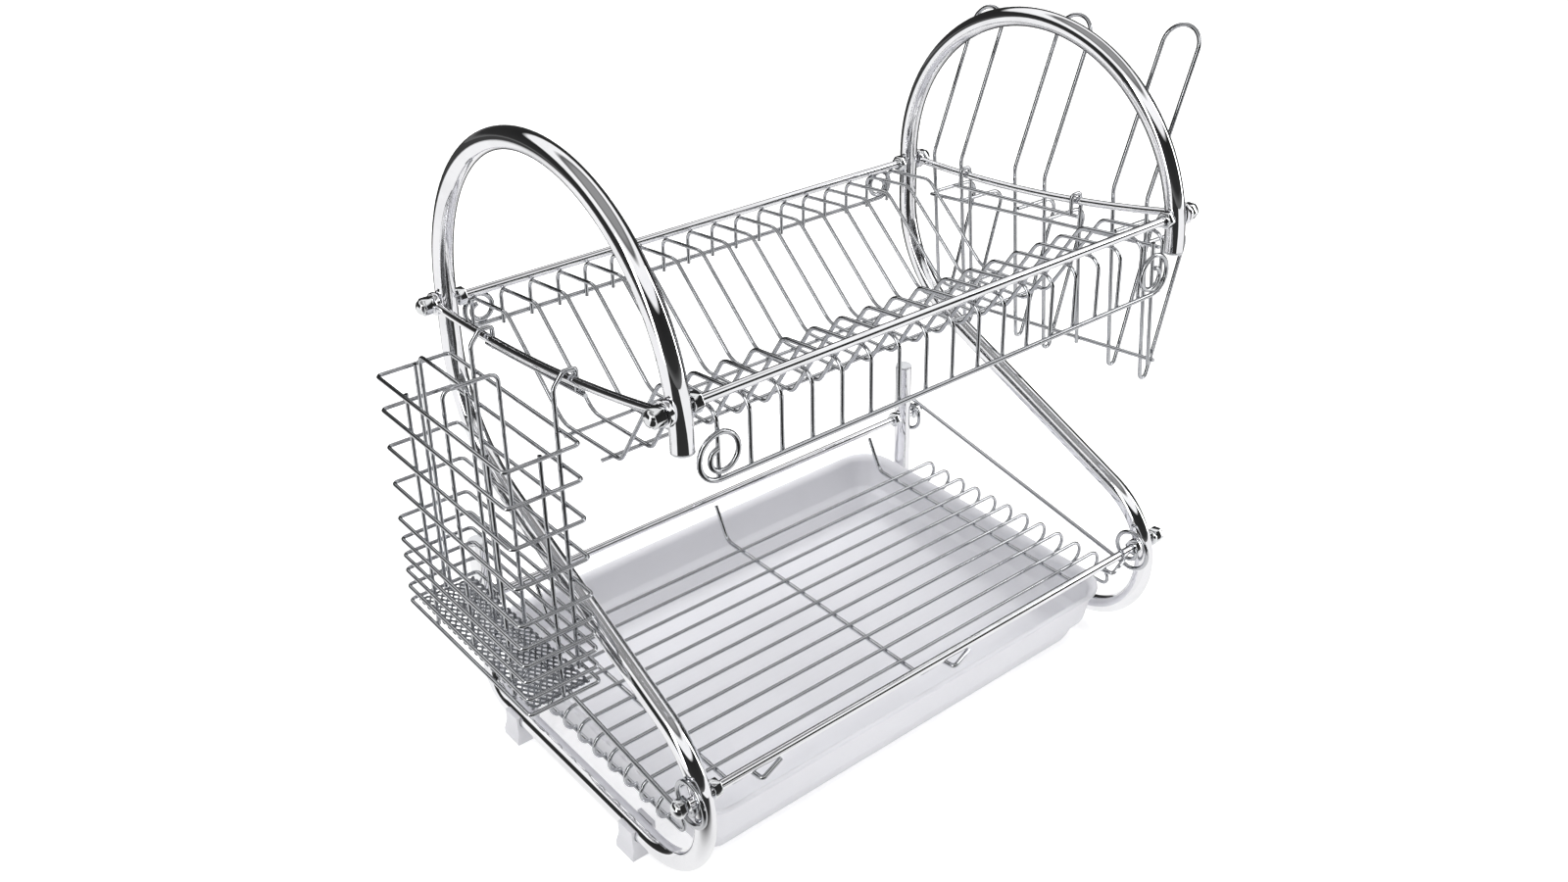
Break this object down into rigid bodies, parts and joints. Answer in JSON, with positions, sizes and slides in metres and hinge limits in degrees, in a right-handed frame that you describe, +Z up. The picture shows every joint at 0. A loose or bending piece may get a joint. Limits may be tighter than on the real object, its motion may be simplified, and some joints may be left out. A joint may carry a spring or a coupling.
{
  "type": "dish drying rack",
  "caption": "Two-tier chrome wire dish rack on S-shaped tube sides, with a hanging cutlery basket, a cup holder and a slide-out drip tray.",
  "frame": {"origin": "on the counter, under the middle of the whole rack's bounding box", "axes": "+X along the rails from the cutlery basket's side to the cup holder's side, +Y from front to back, +Z up"},
  "size_m": [0.499, 0.284, 0.4322],
  "materials": {
    "chrome_plate": "polished chrome plate on bent steel tube and rod",
    "bright_nut": "polished chrome plate on nuts",
    "bright_wire": "bright chrome plate on drawn wire",
    "frosted_plastic": "pale, slightly translucent moulded plastic",
    "white_plastic": "white moulded plastic"
  },
  "bodies": {
    "rack": {"cap_nut_lower_back_left": "bright_nut", "cap_nut_lower_back_right": "bright_nut", "cap_nut_lower_front_left": "bright_nut", "cap_nut_lower_front_right": "bright_nut", "cap_nut_upper_back_left": "bright_nut", "cap_nut_upper_back_right": "bright_nut", "cap_nut_upper_front_left": "bright_nut", "cap_nut_upper_front_right": "bright_nut", "foot_front_left": "white_plastic", "foot_front_right": "white_plastic", "foot_rear_left": "white_plastic", "foot_rear_right": "white_plastic", "front_plug_left": "chrome_plate", "front_plug_right": "chrome_plate", "lower_back_rail": "chrome_plate", "lower_front_rail": "chrome_plate", "lower_guard_left": "bright_wire", "lower_guard_right": "bright_wire", "lower_rack": "bright_wire", "nut_lower_back_left": "bright_nut", "nut_lower_back_right": "bright_nut", "nut_lower_front_left": "bright_nut", "nut_lower_front_right": "bright_nut", "nut_upper_back_left": "bright_nut", "nut_upper_back_right": "bright_nut", "nut_upper_front_left": "bright_nut", "nut_upper_front_right": "bright_nut", "rear_plug_left": "chrome_plate", "rear_plug_right": "chrome_plate", "side_frame_left": "chrome_plate", "side_frame_right": "chrome_plate", "upper_back_rail": "chrome_plate", "upper_basket": "bright_wire", "upper_front_rail": "chrome_plate", "upper_side_rail_left": "chrome_plate", "upper_side_rail_right": "chrome_plate", "washer_lower_front_right": "bright_nut"},
    "drip_tray": {"drip_tray": "frosted_plastic"},
    "cutlery_basket": {"cutlery_cage": "bright_wire", "cutlery_floor": "bright_wire", "cutlery_divider_long": "bright_wire", "cutlery_divider_cross": "bright_wire"},
    "cup_holder": {"cup_holder_frame": "bright_wire", "cup_loop_front": "bright_wire", "cup_loop_middle": "bright_wire", "cup_loop_back": "bright_wire"}
  },
  "joints": [
    {"name": "tray_slide", "type": "slide", "parent": "rack", "child": "drip_tray", "axis": [0, -1, 0], "range_m": [0, 0.25]},
    {"name": "cutlery_basket_lift", "type": "slide", "parent": "rack", "child": "cutlery_basket", "axis": [0, 0, 1], "range_m": [0, 0.06]},
    {"name": "cup_holder_lift", "type": "slide", "parent": "rack", "child": "cup_holder", "axis": [0, 0, 1], "range_m": [0, 0.06]}
  ]
}
